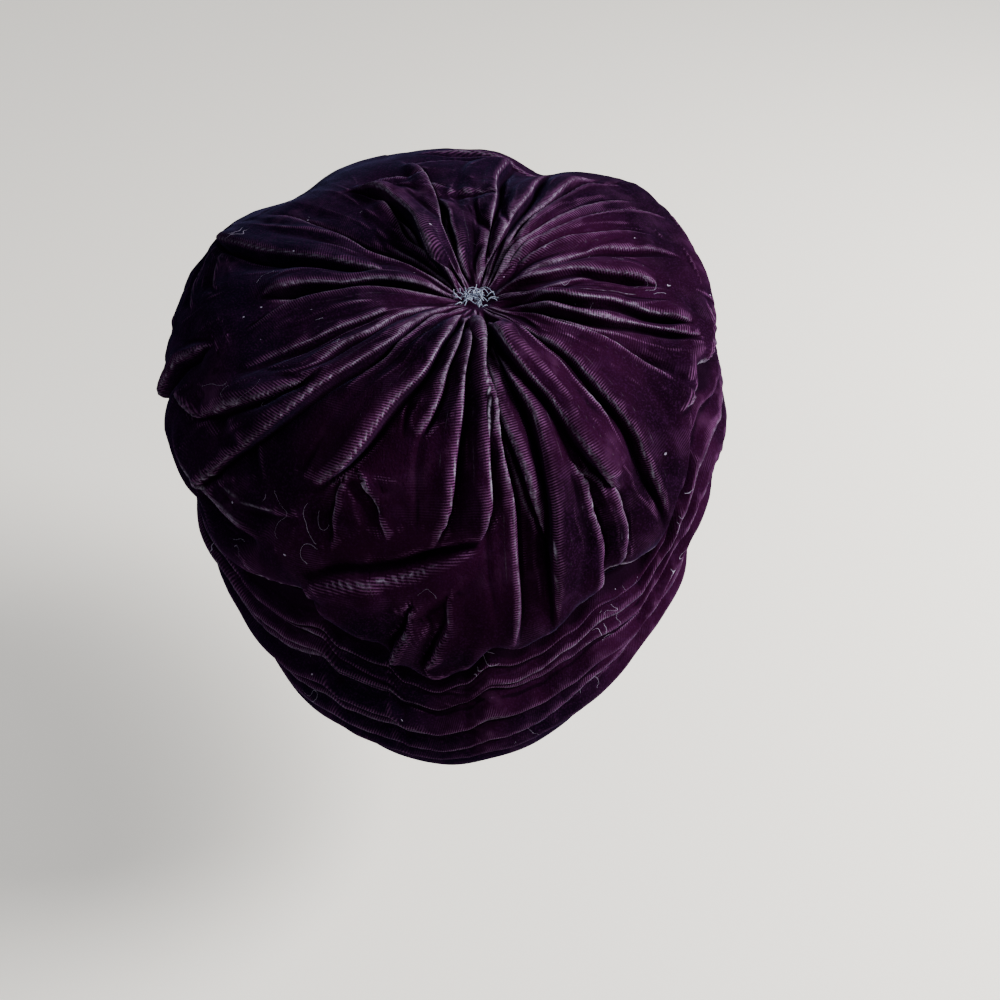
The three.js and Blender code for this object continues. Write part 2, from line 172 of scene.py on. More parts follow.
# Band swathes: share of the way from the crown's edge (0) to the head opening (1), and the
# ridges in each as (share of its own width, rise, half width, side to side wander, phase).
SWATHES = (
    {"name": "band_upper", "cut": (0.054, 0.68), "top": 0.03, "bottom": 0.42,
     "ridges": ((0.24, 4.4, 1.9, 0.06, 20), (0.40, 4.0, 1.7, 0.09, 95),
                (0.57, 5.4, 2.2, 0.08, 160), (0.73, 4.0, 1.6, 0.06, 230),
                (0.90, 6.0, 3.2, 0.0, 0))},
    {"name": "band_middle", "cut": (0.052, 0.66), "top": 0.33, "bottom": 0.74,
     "ridges": ((0.40, 4.4, 2.0, 0.07, 150), (0.58, 5.0, 2.4, 0.09, 60),
                (0.75, 4.2, 1.8, 0.07, 300), (0.90, 6.0, 3.4, 0.0, 0))},
    {"name": "band_lower", "cut": (0.042, 0.62), "top": 0.66, "bottom": 1.00,
     "ridges": ((0.46, 4.0, 2.2, 0.09, 210), (0.68, 3.8, 2.0, 0.08, 90),
                (0.90, 4.0, 3.6, 0.0, 0))},
)
SWATHE_SWAY = 0.05
SWATHE_PHASE = 50

CROWN_COLUMNS = 640
CROWN_BODY_ROWS = 116
CROWN_EDGE_ROWS = 16
CROWN_SKIRT_ROWS = 6
LINING_STEP = 4
SWATHE_COLUMNS = 600
SWATHE_ROWS = 56
SWATHE_LINING_ROWS = (0, 6, 12, 18, 24, 30, 36, 42, 47)

# The rest are millimetres unless a comment says otherwise.
CROWN_RADIUS = 90
BAND_RADIUS = 105
LIP_ROUND = 9          # height of the rounded cloth above and below the crown's edge
LIP_PUFF = 3.4
LIP_HIGHLIGHT = 1.6         # half width of the pale line along the crown's edge: partly opened pile, partly painted sheen highlight
SKIRT_DEPTH = 11.4
SWATHE_DEPTH = 8.8     # how deep a swathe's covered top edge lies
SWATHE_EASE = 3.4      # how much less deep the rest of it lies
SWATHE_LINING_DEPTH = 5.2
EDGE_TURNS = 7         # rows in the rolled lower edge of a swathe
EDGE_RADIUS = 1.9
SIDE_TUCK = 2.2
SIDE_TUCK_ANGLE = 338  # degrees
CREST_SPAN = 1.6
PANEL_SWELL = 4.0
PANEL_SPREAD = 9.0
VALLEY_LIMIT = 8
VALLEY_SHARE = 0.6     # share of a fold's stated depth
FOLD_WIDTH = 0.66      # share of a fold's stated half width
FLANK = 1.75           # in half widths
PLEAT_LINE = 0.15      # in half widths
SWAG_LINE = 0.38       # in half widths
HUB_PULL = 0.07        # in reach

# The stage, in metres and watts.
FLOOR_DROP = 0.12
FLOOR_GLOW = 0.44
FLOOR_TONE = "f6f2ea"
WORLD_TONE = "f3f4f8"
WORLD_STRENGTH = 0.30
LIGHT_AIM = (0, 0, 0.08)
LIGHTS = (
    ("key", (1.0, 0.05, 0.75), 0.5, 42, (1.0, 0.98, 0.95)),
    ("fill", (-0.9, -0.3, 0.7), 0.8, 1.6, (0.82, 0.88, 1.0)),
)
CAMERA_AIM = (0.019, 0.003, 0.0203)
CAMERA_DISTANCE = 0.5
CAMERA_ELEVATION = 47
CAMERA_LENS = 39.6
CAMERA_SENSOR = 36

# Thread and lint tones, and short names for the nodes that are used most.
LINT_TONE = "857d92"
THREAD_TONES = ("4f5b7c", "a3aec6")
MATH, MIX = "ShaderNodeMath", "ShaderNodeMix"
NOISE, RANGE = "ShaderNodeTexNoise", "ShaderNodeMapRange"


def smooth(t):
    t = np.clip(t, 0, 1)
    return t * t * (3 - 2 * t)


def turn(a, b):
    return (a - b + 540) % 360 - 180


def rows_as_dicts(keys, rows):
    return [dict(zip(keys, row)) for row in rows]


def ring_values(reach):
    """Each ring column at the given reaches, by a smooth curve through the table."""
    at = RINGS[:, 0]
    values = RINGS[:, 1:]
    slope = np.empty_like(values)
    slope[1:-1] = (values[2:] - values[:-2]) / (at[2:] - at[:-2])[:, None]
    slope[0] = (values[1] - values[0]) / (at[1] - at[0])
    slope[-1] = (values[-1] - values[-2]) / (at[-1] - at[-2])
    i = np.clip(np.searchsorted(at, reach, side="right") - 1, 0, len(at) - 2)
    span = at[i + 1] - at[i]
    t = ((reach - at[i]) / span)[..., None]
    span = span[..., None]
    t2, t3 = t * t, t * t * t
    return ((2 * t3 - 3 * t2 + 1) * values[i] + (t3 - 2 * t2 + t) * slope[i] * span
            + (3 * t2 - 2 * t3) * values[i + 1] + (t3 - t2) * slope[i + 1] * span)


def outline(angle, reach):
    """Points of the smooth hat outline, in millimetres."""
    value = ring_values(reach)
    c, s = np.cos(np.radians(angle)), np.sin(np.radians(angle))
    across = np.where(c > 0, value[..., 0], value[..., 1])
    along = np.where(s > 0, value[..., 3], value[..., 2])
    return np.stack([value[..., 6] + across * c, value[..., 7] + along * s,
                     value[..., 4] + value[..., 5] * s], -1)


def bulge(angle, reach):
    total = np.zeros_like(reach)
    for at, down, rise, half_angle, half_reach in BULGES:
        total += rise * np.exp(-(turn(angle, at) / half_angle) ** 2
                               - ((reach - down) / half_reach) ** 2)
    return total


def unit(v):
    return v / np.maximum(np.linalg.norm(v, axis=-1, keepdims=True), 1e-9)


def directions(angle, reach):
    """Outward normal, direction round the head and direction down the outside."""
    low = np.maximum(0.02, reach - 0.004)
    down = unit(outline(angle, low + 0.008) - outline(angle, low))
    around = unit(outline(angle + 0.5, low + 0.004) - outline(angle - 0.5, low + 0.004))
    normal = unit(np.cross(down, around))
    return normal, around, down


def table_curve(table, angle):
    """A smooth closed curve through (angle, value) rows."""
    at = np.array([row[0] for row in table], float)
    value = np.array([row[1] for row in table], float)
    at = np.concatenate([at[-2:] - 360, at, at[:2] + 360])
    value = np.concatenate([value[-2:], value, value[:2]])
    a = np.mod(angle, 360)
    i = np.clip(np.searchsorted(at, a, side="right") - 1, 0, len(at) - 2)
    t = smooth((a - at[i]) / (at[i + 1] - at[i]))
    return value[i] + (value[i + 1] - value[i]) * t


def wave_noise(angle, down, seed, turns, length, octaves=3):
    """Smooth random waves round the head and down the cloth; turns is waves per turn."""
    rng = np.random.default_rng(seed)
    total = np.zeros(np.broadcast(angle, down).shape)
    weight = 1.0
    for _ in range(octaves):
        cells_u, cells_v = int(turns), 64
        grid = rng.uniform(-1, 1, (cells_u, cells_v))
        u = np.mod(angle / 360 * cells_u, cells_u)
        v = np.mod(down / length + 7.3, cells_v)
        iu, iv = u.astype(int) % cells_u, v.astype(int) % cells_v
        fu, fv = smooth(u - np.floor(u)), smooth(v - np.floor(v))
        ju, jv = (iu + 1) % cells_u, (iv + 1) % cells_v
        total += weight * ((grid[iu, iv] * (1 - fu) + grid[ju, iv] * fu) * (1 - fv)
                           + (grid[iu, jv] * (1 - fu) + grid[ju, jv] * fu) * fv)
        turns, length, weight = turns * 2, length / 2, weight * 0.5
    return total / 1.6


def pleat_angle(row, t):
    first = turn(row["start_angle"], row["mid_angle"])
    last = turn(row["end_angle"], row["mid_angle"])
    return row["mid_angle"] + first * (1 - t) * (1 - 2 * t) + last * t * (2 * t - 1)


def fold_profile(u, gentle):
    """Ridge, valley and overhang across a fold; u is the distance over its half width."""
    flank = np.where(u < 0, np.exp(-np.abs(u / (FLANK * gentle)) ** 1.8),
                     np.exp(-np.abs(u / 0.85) ** 3.0))
    crest = np.exp(-np.abs(u / 0.8) ** 2.4)
    spread = gentle / (gentle + 0.9)
    ridge = spread * flank + (1 - spread) * crest
    valley = np.exp(-((u - 1.5) / 0.6) ** 2)
    valley = valley + 0.3 * np.exp(-((u + FLANK * gentle + 0.6) / 0.6) ** 2)
    over = np.exp(-((u - 0.25) / 0.75) ** 2)
    return ridge, valley, over


def lay_fold(near, t, u, row, fade, line_width, ridges, valleys, lean, pile_and_highlight_lines):
    """Adds one fold to the ridge and valley heights and to how far the cloth leans."""
    ridge, valley, over = fold_profile(u, row["gentle"])
    rise = row["rise"] * (0.85 + 0.22 * np.sin(t * 8 + row["start_angle"])) * fade
    ridges[near] = np.maximum(ridges[near], rise * ridge)
    deep = 0.3 + 0.7 * smooth(0.5 + 0.7 * np.sin(t * 6 + 1.7 * row["start_angle"]))
    valleys[near] = np.maximum(valleys[near], VALLEY_SHARE * row["depth"] * deep * fade * valley)
    lean[near] += row["side"] * rise * 0.55 * over
    # pale lines along the fold's edges: partly opened pile, partly painted sheen highlight
    edge = np.exp(-((u - 0.30) / line_width) ** 2)
    edge = edge + 0.6 * np.exp(-((u + 0.85) / line_width) ** 2)
    pile_and_highlight_lines[near] = np.maximum(pile_and_highlight_lines[near], edge * fade)


def add_pleats(angle, reach, radius, ridges, valleys, sideways, crease, pile_and_highlight_lines):
    for row in rows_as_dicts(PLEAT_KEYS, PLEATS):
        start = row["start"] - HUB_PULL * (row["start"] < 0.3)
        t = (reach - start) / (row["end"] - start)
        across = np.radians(turn(angle, pleat_angle(row, np.clip(t, 0, 1)))) * radius
        key = row["start_angle"]
        across = across + 0.8 * np.sin(t * 7 + key) + 0.4 * np.sin(t * 19 + 2 * key)
        near = (t > 0) & (t < 1) & (np.abs(across) < 60)
        tn = t[near]
        fade = smooth(tn / 0.30) * smooth((1 - tn) / (0.06 + 1.3 * row["fade"]))
        half = FOLD_WIDTH * row["half"] * (0.28 + 0.72 * smooth(tn * 1.9))
        half = half * (0.6 + 0.4 * smooth((1 - tn) / 0.25))
        u = across[near] / half * row["side"]
        lay_fold(near, tn, u, row, fade, PLEAT_LINE, ridges, valleys, sideways, pile_and_highlight_lines)
        gap = np.abs(u - 1.5) * half + 14 * (1 - fade)
        crease[near] = np.minimum(crease[near], gap)


def add_swags(angle, reach, ridges, valleys, downward, crease, pile_and_highlight_lines):
    for row in rows_as_dicts(SWAG_KEYS, SWAGS):
        t = turn(angle, row["start_angle"]) / (row["end_angle"] - row["start_angle"])
        middle = row["start"] + (row["end"] - row["start"]) * t
        middle = middle + 0.012 * np.sin(math.pi * t)
        key = row["start_angle"]
        across = (reach - middle) / REACH_PER_MM + 0.7 * np.sin(t * 9 + key)
        near = (t > 0) & (t < 1) & (np.abs(across) < 40)
        tn = t[near]
        fade = smooth(tn / 0.35) * smooth((1 - tn) / 0.35)
        half = FOLD_WIDTH * row["half"] * (0.6 + 0.4 * fade)
        u = across[near] / half * row["side"]
        lay_fold(near, tn, u, row, 0.8 * fade, SWAG_LINE, ridges, valleys, downward, pile_and_highlight_lines)
        gap = np.abs(u - 1.5) * half + 14 * (1 - fade)
        crease[near] = np.minimum(crease[near], gap)


def gather_pleats(angle, reach):
    """Fine gathers that start at the stitched middle and die out down the cloth."""
    down = reach / REACH_PER_MM
    wander = 7 * wave_noise(angle, down, 11, 9, 34, 2)
    coarse = np.minimum(np.abs(wave_noise(angle + wander, down, 61, 24, 90, 1)) * 2.6, 1)
    fine = np.minimum(np.abs(wave_noise(angle + wander, down, 62, 50, 60, 1)) * 2.6, 1)
    near = smooth((reach - 0.03) / 0.07)
    return (3.0 * (coarse - 0.5) * near * smooth((0.50 - reach) / 0.38)
            + 1.2 * (fine - 0.5) * near * smooth((0.55 - reach) / 0.45))


def soft_wrinkles(angle, reach):
    down = reach / REACH_PER_MM
    open_cloth = smooth((reach - 0.12) / 0.25)
    broad = 2.2 * wave_noise(angle, down, 3, 10, 46, 2)
    long_ones = wave_noise(angle + 0.05 * down, down, 5, 46, 42, 2)
    crumple = wave_noise(angle, down, 17, 58, 11, 2)
    patch = smooth(wave_noise(angle, down, 23, 9, 40, 1) * 1.5 + 0.4)
    return open_cloth * (broad + 1.1 * (0.6 - np.abs(long_ones) * 1.6) * patch
                         + 0.45 * crumple)


def lip_reach(angle):
    scallop = 3.2 * wave_noise(angle, 0 * angle, 31, 26, 30, 2)
    return table_curve(LIP, angle) + scallop * REACH_PER_MM


def edge_path(count):
    """The crown's turned-under edge: millimetres below the edge, depth inside the outline."""
    points = np.array([(-LIP_ROUND, -LIP_PUFF), (-LIP_ROUND / 2, -LIP_PUFF), (-1.2, -1.0),
                       (0.2, 1.6), (-0.3, 4.8), (0.4, 8.0), (3.0, 10.6),
                       (LIP_ROUND, SKIRT_DEPTH)])
    at = np.linspace(0, len(points) - 1, count + 1)[1:]
    i = np.clip(at.astype(int), 0, len(points) - 2)
    t = (at - i)[:, None]
    before, after = points[np.maximum(i - 1, 0)], points[np.minimum(i + 2, len(points) - 1)]
    a, b = points[i], points[i + 1]
    return a + 0.5 * t * (b - before + t * (2 * before - 5 * a + 4 * b - after
                                            + t * (3 * (a - b) + after - before)))


def crown_outer():
    """Grid of the crown's outside points in mm, with reach and fold height of each."""
    angle = np.arange(CROWN_COLUMNS) * 360 / CROWN_COLUMNS
    lip = lip_reach(angle)
    top = lip - LIP_ROUND * REACH_PER_MM
    share = np.linspace(0.0, 1.0, CROWN_BODY_ROWS)[:, None]
    share = 0.025 + (share ** 1.06) * (1 - 0.025)
    body = top * share
    path = edge_path(CROWN_EDGE_ROWS)
    edge = lip + path[:, :1] * REACH_PER_MM
    hem = lip + LIP_ROUND * REACH_PER_MM
    part = np.linspace(0, 1, CROWN_SKIRT_ROWS + 1)[1:, None]
    skirt = hem + (RIM_REACH - hem) * part
    reach = np.concatenate([body, edge, skirt])
    puff = -LIP_PUFF * smooth((body - (top - 0.16)) / 0.16)
    depth = np.concatenate([puff, path[:, 1:] + 0 * edge, SKIRT_DEPTH + 0 * skirt])
    keep = np.concatenate([1 + 0 * body, np.clip(1 - (path[:, 1:] + 2) / 7, 0, 1) + 0 * edge,
                           0 * skirt])
    angle = angle + 0 * reach
    radius = np.maximum(6, (ring_values(reach)[..., 0] + ring_values(reach)[..., 2]) / 2)
    ridges, valleys, around_by, down_by = (np.zeros_like(reach) for _ in range(4))
    flat = np.minimum(reach, lip)
    crease, pile_and_highlight_lines = np.full_like(reach, 40.0), np.zeros_like(reach)
    # pale line along the crown's edge: partly opened pile, partly painted sheen highlight
    rim_highlight = np.exp(-((reach - lip) / REACH_PER_MM / LIP_HIGHLIGHT) ** 2) * (depth < 3)
    add_pleats(angle, flat, radius, ridges, valleys, around_by, crease, pile_and_highlight_lines)
    add_swags(angle, flat, ridges, valleys, down_by, crease, pile_and_highlight_lines)
    swell = PANEL_SWELL * (1 - np.exp(-crease / PANEL_SPREAD) - 0.6)
    rise = ridges - np.minimum(valleys, VALLEY_LIMIT) + gather_pleats(angle, flat)
    rise += swell * smooth((flat - 0.08) / 0.25)
    rise = (rise + soft_wrinkles(angle, flat) - 1.5 * smooth((flat - 0.1) / 0.2)) * keep
    normal, around, down = directions(angle, reach)
    point = outline(angle, reach) + normal * (rise - depth + bulge(angle, reach))[..., None]
    point += around * (np.clip(around_by, -6, 6) * keep)[..., None]
    point += down * (np.clip(down_by, -5, 5) * keep)[..., None]
    return point, reach, angle, rise - depth, np.maximum(pile_and_highlight_lines * keep, 0.85 * rim_highlight)


def window_low(values, columns, rows):
    """Lowest value in a window, wrapping round the head."""
    low = values
    for step in range(1, columns + 1):
        low = np.minimum(low, np.minimum(np.roll(values, step, 1), np.roll(values, -step, 1)))
    base = low.copy()
    for step in range(1, rows + 1):
        low[step:] = np.minimum(low[step:], base[:-step])
        low[:-step] = np.minimum(low[:-step], base[step:])
    return low


def crown_lining(reach, angle, height, wall):
    """The inside of the crown: a coarser sheet, one cloth inside the lowest folds."""
    low = window_low(height, 6, 3)
    rows = list(range(2, CROWN_BODY_ROWS, 7)) + [CROWN_BODY_ROWS - 1]
    rows += [CROWN_BODY_ROWS + CROWN_EDGE_ROWS - 1, len(reach) - 3, len(reach) - 1]
    pick = np.ix_(rows, range(0, CROWN_COLUMNS, LINING_STEP))
    r, a, h = reach[pick], angle[pick], low[pick]
    h[-3:] = -SKIRT_DEPTH
    normal, _, _ = directions(a, r)
    return outline(a, r) + normal * (h - wall + bulge(a, r))[..., None]


def bend(grid, axis, step):
    """Curvature across one direction of the grid, and the distance it was measured over."""
    if axis == 1:
        after, before = np.roll(grid, -step, 1), np.roll(grid, step, 1)
    else:
        after = np.concatenate([grid[step:], np.repeat(grid[-1:], step, 0)])
        before = np.concatenate([np.repeat(grid[:1], step, 0), grid[:-step]])
    reach = np.linalg.norm(after - before, axis=-1) / 2
    return (after + before) / 2 - grid, np.maximum(reach, 0.2)


def crests(grid):
    """Curvature of the cloth per millimetre: positive on a crest, negative in a crease."""
    normal = unit(np.cross(np.gradient(grid, axis=0),
                           np.roll(grid, -1, 1) - np.roll(grid, 1, 1)))
    total = np.zeros(grid.shape[:2])
    for axis in (0, 1):
        best, weights = 0, 1e-6
        for step in (1, 2, 4, 8):
            sag, reach = bend(grid, axis, step)
            weight = np.exp(-((reach - CREST_SPAN) / (0.5 * CREST_SPAN)) ** 2)
            best = best - weight * 2 * (sag * normal).sum(-1) / reach ** 2
            weights = weights + weight
        total += best / weights
    return total


def strip_faces(fine, coarse, fine_count, step, flip):
    """Joins a row of fine points to a row of coarse ones, all round."""
    faces = []
    coarse_count = fine_count // step
    for j in range(coarse_count):
        inner, after = coarse + j, coarse + (j + 1) % coarse_count
        for k in range(step):
            a, b = fine + j * step + k, fine + (j * step + k + 1) % fine_count
            faces.append((a, b, inner) if flip else (b, a, inner))
        b = fine + (j * step + step) % fine_count
        faces.append((b, after, inner) if flip else (after, b, inner))
    return faces


def grid_quads(start, rows, columns, flip):
    i, j = np.meshgrid(np.arange(rows - 1), np.arange(columns), indexing="ij")
    k = (j + 1) % columns
    quads = np.stack([i * columns + j, (i + 1) * columns + j, (i + 1) * columns + k,
                      i * columns + k], -1).reshape(-1, 4) + start
    return quads[:, ::-1] if flip else quads


def wall_mesh(name, outer, inner, step, closed_top, uv_mm, marks):
    """Builds a closed wall from a fine outside grid and a coarser inside grid."""
    rows, columns = outer.shape[:2]
    in_rows, in_columns = inner.shape[:2]
    points = np.concatenate([outer.reshape(-1, 3), inner.reshape(-1, 3)]) * MM
    inner_start = rows * columns
    outer_faces = grid_quads(0, rows, columns, False)
    faces = outer_faces.tolist() + grid_quads(inner_start, in_rows, in_columns, True).tolist()
    faces += strip_faces((rows - 1) * columns, inner_start + (in_rows - 1) * in_columns,
                         columns, step, False)
    if closed_top:
        poles = np.stack([outer[0].mean(0), inner[0].mean(0)]) * MM
        top, bottom = len(points), len(points) + 1
        points = np.concatenate([points, poles])
        faces += [(top, j, (j + 1) % columns) for j in range(columns)]
        faces += [(bottom, inner_start + (j + 1) % in_columns, inner_start + j)
                  for j in range(in_columns)]
    else:
        faces += strip_faces(0, inner_start, columns, step, True)
    mesh = bpy.data.meshes.new(name)
    mesh.from_pydata(points.tolist(), [], faces)
    for mark, grid in marks.items():
        values = np.zeros(len(points))
        values[:inner_start] = grid.reshape(-1)
        layer = mesh.attributes.new(mark, "FLOAT", "POINT")
        layer.data.foreach_set("value", values)
    add_uv(mesh, uv_mm, rows, columns)
    mesh.polygons.foreach_set("use_smooth", [True] * len(mesh.polygons))
    mesh.update()
    piece = bpy.data.objects.new(name, mesh)
    bpy.context.scene.collection.objects.link(piece)
    return piece


def add_uv(mesh, uv_mm, rows, columns):
    """A map whose unit is a decimetre of cloth, round the head and down the outside."""
    around, down = uv_mm
    uv = np.zeros((len(mesh.loops), 2))
    i, j = np.meshgrid(np.arange(rows - 1), np.arange(columns), indexing="ij")
    lap = 2 * around[:, -1:] - around[:, -2:-1]
    around = np.concatenate([around, lap], 1)
    down = np.concatenate([down, down[:, :1]], 1)
    corner = [(i, j), (i + 1, j), (i + 1, j + 1), (i, j + 1)]
    values = np.stack([np.stack([around[a, b], down[a, b]], -1) for a, b in corner], 2)
    count = (rows - 1) * columns * 4
    uv[:count] = values.reshape(-1, 2) * MM * 10
    layer = mesh.uv_layers.new(name="cloth")
    layer.data.foreach_set("uv", uv.reshape(-1))


def cloth_lengths(grid):
    """Distance down the outside from the top row, column by column."""
    step = np.linalg.norm(np.diff(grid, axis=0), axis=-1)
    return np.concatenate([np.zeros((1, grid.shape[1])), np.cumsum(step, 0)])


def build_crown(wall):
    outer, reach, angle, height, pile_and_highlight_lines = crown_outer()
    inner = crown_lining(reach, angle, height, wall)
    base_down = cloth_lengths(outline(angle, reach))
    around = np.radians(angle) * CROWN_RADIUS
    return wall_mesh("crown_drape", outer, inner, LINING_STEP, True, (around, base_down),
                     {"crest": np.clip(crests(outer), -1, 0.6), "edge": pile_and_highlight_lines})


def swathe_grid(swathe):
    """Outside grid of one swathe: a tucked top, its ridges and a rolled lower edge."""
    angle = np.arange(SWATHE_COLUMNS) * 360 / SWATHE_COLUMNS
    lip = table_curve(LIP, angle) + 4 * REACH_PER_MM
    sway = SWATHE_SWAY * np.sin(np.radians(angle - SWATHE_PHASE))
    top = swathe["top"] + (sway if swathe["top"] > 0.1 else 0)
    bottom = swathe["bottom"] + (sway if swathe["bottom"] < 1 else 0)
    s = np.linspace(0, 1, SWATHE_ROWS - EDGE_TURNS)[:, None] + 0 * angle
    tucked = SIDE_TUCK * np.exp(-(turn(angle, SIDE_TUCK_ANGLE) / 16) ** 2)
    tucked = tucked * (1 - smooth(s / 0.6))
    depth = SWATHE_DEPTH - SWATHE_EASE * smooth(s / 0.5) + tucked
    share = top + (bottom - top) * s
    reach = lip + (RIM_REACH - lip) * share
    width = (bottom - top) * (RIM_REACH - lip) / REACH_PER_MM
    drop = np.zeros_like(s)
    ridge_sum = np.zeros_like(s)
    for at, rise, half, wander, phase in swathe["ridges"]:
        middle = at + wander * (np.sin(np.radians(angle * 2 - phase))
                                + 0.5 * np.sin(np.radians(angle * 5 + 2 * phase)))
        level = 0.70 + 0.45 * np.sin(np.radians(angle * 2 + phase * 5))
        u = (s - middle) * width / half
        ridge, valley, over = fold_profile(u, 1.1)
        edge = 1.0 if at > 0.8 else level
        ridge_sum = np.maximum(ridge_sum, rise * edge * ridge)
        ridge_sum -= 0.30 * rise * edge * valley * (s < 0.92)
        drop += 0.6 * rise * edge * over
    down = reach / REACH_PER_MM
    ripple = 0.7 * wave_noise(angle + 0 * s, down, 41 + len(swathe["name"]), 14, 24, 2)
    fine = 0.35 * (1 - np.abs(wave_noise(angle + 0 * s, down, 51, 18, 5, 2)) * 2)
    height = -depth + ridge_sum + (ripple + fine) * smooth(s / 0.3)
    return angle + 0 * s, reach, height, np.clip(drop, 0, 3) * smooth(s / 0.2)


def roll_edge(point, normal, down, rows):
    """Rolls the lower edge under with a small round turn."""
    last = point[-1]
    bends = []
    for k in range(1, rows + 1):
        turn_by = math.pi * k / rows
        bends.append(last + down * (EDGE_RADIUS * math.sin(turn_by))
                     - normal * (EDGE_RADIUS * (1 - math.cos(turn_by))))
    return np.concatenate([point, np.stack(bends)])


def swathe_crest_and_shade(outer):
    """Crest values of a swathe, carrying painted shade: its valleys read deeper and its top edge,
    under the cloth above, reads as a deep crease in painted shade.
    """
    crest = np.clip(crests(outer), -1, 0.62)
    # painted shade: valleys are made deeper, and the top edge under the cloth above is marked as
    # a crease, so the velvet darkens both
    crest = np.where(crest < 0, 2.2 * crest, crest)
    covered_shade = 1 - smooth(np.linspace(0, 1, len(outer))[:, None] / 0.3)
    return crest - 0.6 * covered_shade


def build_swathe(swathe, wall):
    angle, reach, height, drop = swathe_grid(swathe)
    normal, _, down = directions(angle, reach)
    swell = bulge(angle, reach)
    point = outline(angle, reach) + normal * (height + swell)[..., None]
    point += down * drop[..., None]
    outer = roll_edge(point, normal[-1], down[-1], EDGE_TURNS)
    low = window_low(height, 3, 2) - wall
    pick = np.ix_(SWATHE_LINING_ROWS, range(0, SWATHE_COLUMNS, LINING_STEP))
    sunk = np.minimum(low, -SWATHE_LINING_DEPTH) + swell
    lining = outline(angle[pick], reach[pick]) + normal[pick] * sunk[pick][..., None]
    base = cloth_lengths(outer)
    around_mm = np.radians(np.concatenate([angle, angle[:EDGE_TURNS]])) * BAND_RADIUS
    return wall_mesh(swathe["name"] + "_drape", outer, lining, LINING_STEP, False,
                     (around_mm, base), {"crest": swathe_crest_and_shade(outer)})


def thread_points(start, way, length, lift, bend, count=9):
    t = np.linspace(0, 1, count)[:, None]
    side = np.array([-way[1], way[0], 0])
    up = np.array([0, 0, 1.0])
    return start + way * length * t + up * lift * np.sin(math.pi * t) + side * bend * t * t


def thread_tube(points, radius, sides=6):
    """Vertices and faces of one closed thread along a run of points."""
    way = unit(np.gradient(points, axis=0))
    first = unit(np.cross(way, np.array([0.31, 0.17, 0.93])))
    second = np.cross(way, first)
    turns = np.arange(sides) * 2 * math.pi / sides
    ring = (np.cos(turns)[:, None] * first[:, None, :]
            + np.sin(turns)[:, None] * second[:, None, :])
    verts = (points[:, None, :] + radius * ring).reshape(-1, 3)
    faces = []
    for i in range(len(points) - 1):
        for j in range(sides):
            k = (j + 1) % sides
            faces.append((i * sides + j, i * sides + k, (i + 1) * sides + k,
                          (i + 1) * sides + j))
    faces.append(tuple(range(sides))[::-1])
    faces.append(tuple((len(points) - 1) * sides + j for j in range(sides)))
    return verts, faces


def build_knot():
    """Worn gathering threads over the middle: short stitches, loops and frayed ends."""
    rng = np.random.default_rng(5)
    verts, faces = [], []
    middle = np.array([RINGS[0, 7], RINGS[0, 8], RINGS[0, 5] + 3.6])
    for _ in range(64):
        a = rng.uniform(0, 2 * math.pi)
        way = np.array([math.cos(a), math.sin(a), rng.uniform(0.0, 0.35)])
        start = middle + np.array([*rng.normal(0, 1, 2) * (3.3, 2.4), rng.uniform(-0.8, 0.4)])
        run = thread_points(start, way, rng.uniform(1.5, 4.8), rng.uniform(0.3, 1.2),
                            rng.uniform(-2.2, 2.2))
        v, f = thread_tube(run, rng.uniform(0.10, 0.20))
        offset = sum(len(x) for x in verts)
        verts.append(v)
        faces += [tuple(i + offset for i in face) for face in f]
    mesh = bpy.data.meshes.new("gather_threads")
    mesh.from_pydata((np.concatenate(verts) * MM).tolist(), [], faces)
    mesh.polygons.foreach_set("use_smooth", [True] * len(mesh.polygons))
    mesh.update()
    piece = bpy.data.objects.new("gather_threads", mesh)
    bpy.context.scene.collection.objects.link(piece)
    return piece


def colour(text):
    """An sRGB hex colour as linear values with alpha."""
    part = [int(text[i:i + 2], 16) / 255 for i in (0, 2, 4)]
    return tuple(c / 12.92 if c <= 0.04045 else ((c + 0.055) / 1.055) ** 2.4
                 for c in part) + (1.0,)


def node(tree, kind, links=None, out=None, **settings):
    """Adds a node with its settings, input values and links; gives the output named by out."""
    made = tree.nodes.new(kind)
    for key, value in settings.items():
        if not hasattr(made, key):
            raise ValueError(f"{kind} has no setting {key}")
        setattr(made, key, value)
    for name, source in (links or {}).items():
        socket = made.inputs[name]
        if isinstance(source, bpy.types.NodeSocket):
            tree.links.new(source, socket)
        else:
            socket.default_value = source
    return made if out is None else made.outputs[out]


def new_material(name):
    material = bpy.data.materials.new(name)
    material.use_nodes = True
    material.node_tree.nodes.clear()
    return material


def painted_side_shade(tree, place, broad):
    """Painted side shade: 1 on the wearer's right and back, near 0 at left and front and low
    down, where the colour is painted darker as if away from the light.
    """
    spot = node(tree, "ShaderNodeSeparateXYZ", {0: place})
    front = node(tree, MATH, {0: spot.outputs["Y"], 1: 0.7}, 0, operation="MULTIPLY")
    low = node(tree, MATH, {0: spot.outputs["Z"], 1: 0.10}, 0, operation="SUBTRACT")
    low = node(tree, MATH, {0: low, 1: 0.0}, 0, operation="MINIMUM")
    low = node(tree, MATH, {0: low, 1: 1.2}, 0, operation="MULTIPLY")
    patch = node(tree, MATH, {0: broad, 1: 0.04}, 0, operation="MULTIPLY")
    side_light = node(tree, MATH, {0: spot.outputs["X"], 1: front}, 0, operation="SUBTRACT")
    side_light = node(tree, MATH, {0: side_light, 1: patch}, 0, operation="ADD")
    side_light = node(tree, MATH, {0: side_light, 1: low}, 0, operation="ADD")
    return node(tree, RANGE, {"Value": side_light, "From Min": -0.10, "From Max": 0.05,
                              "To Min": 0.05}, "Result")


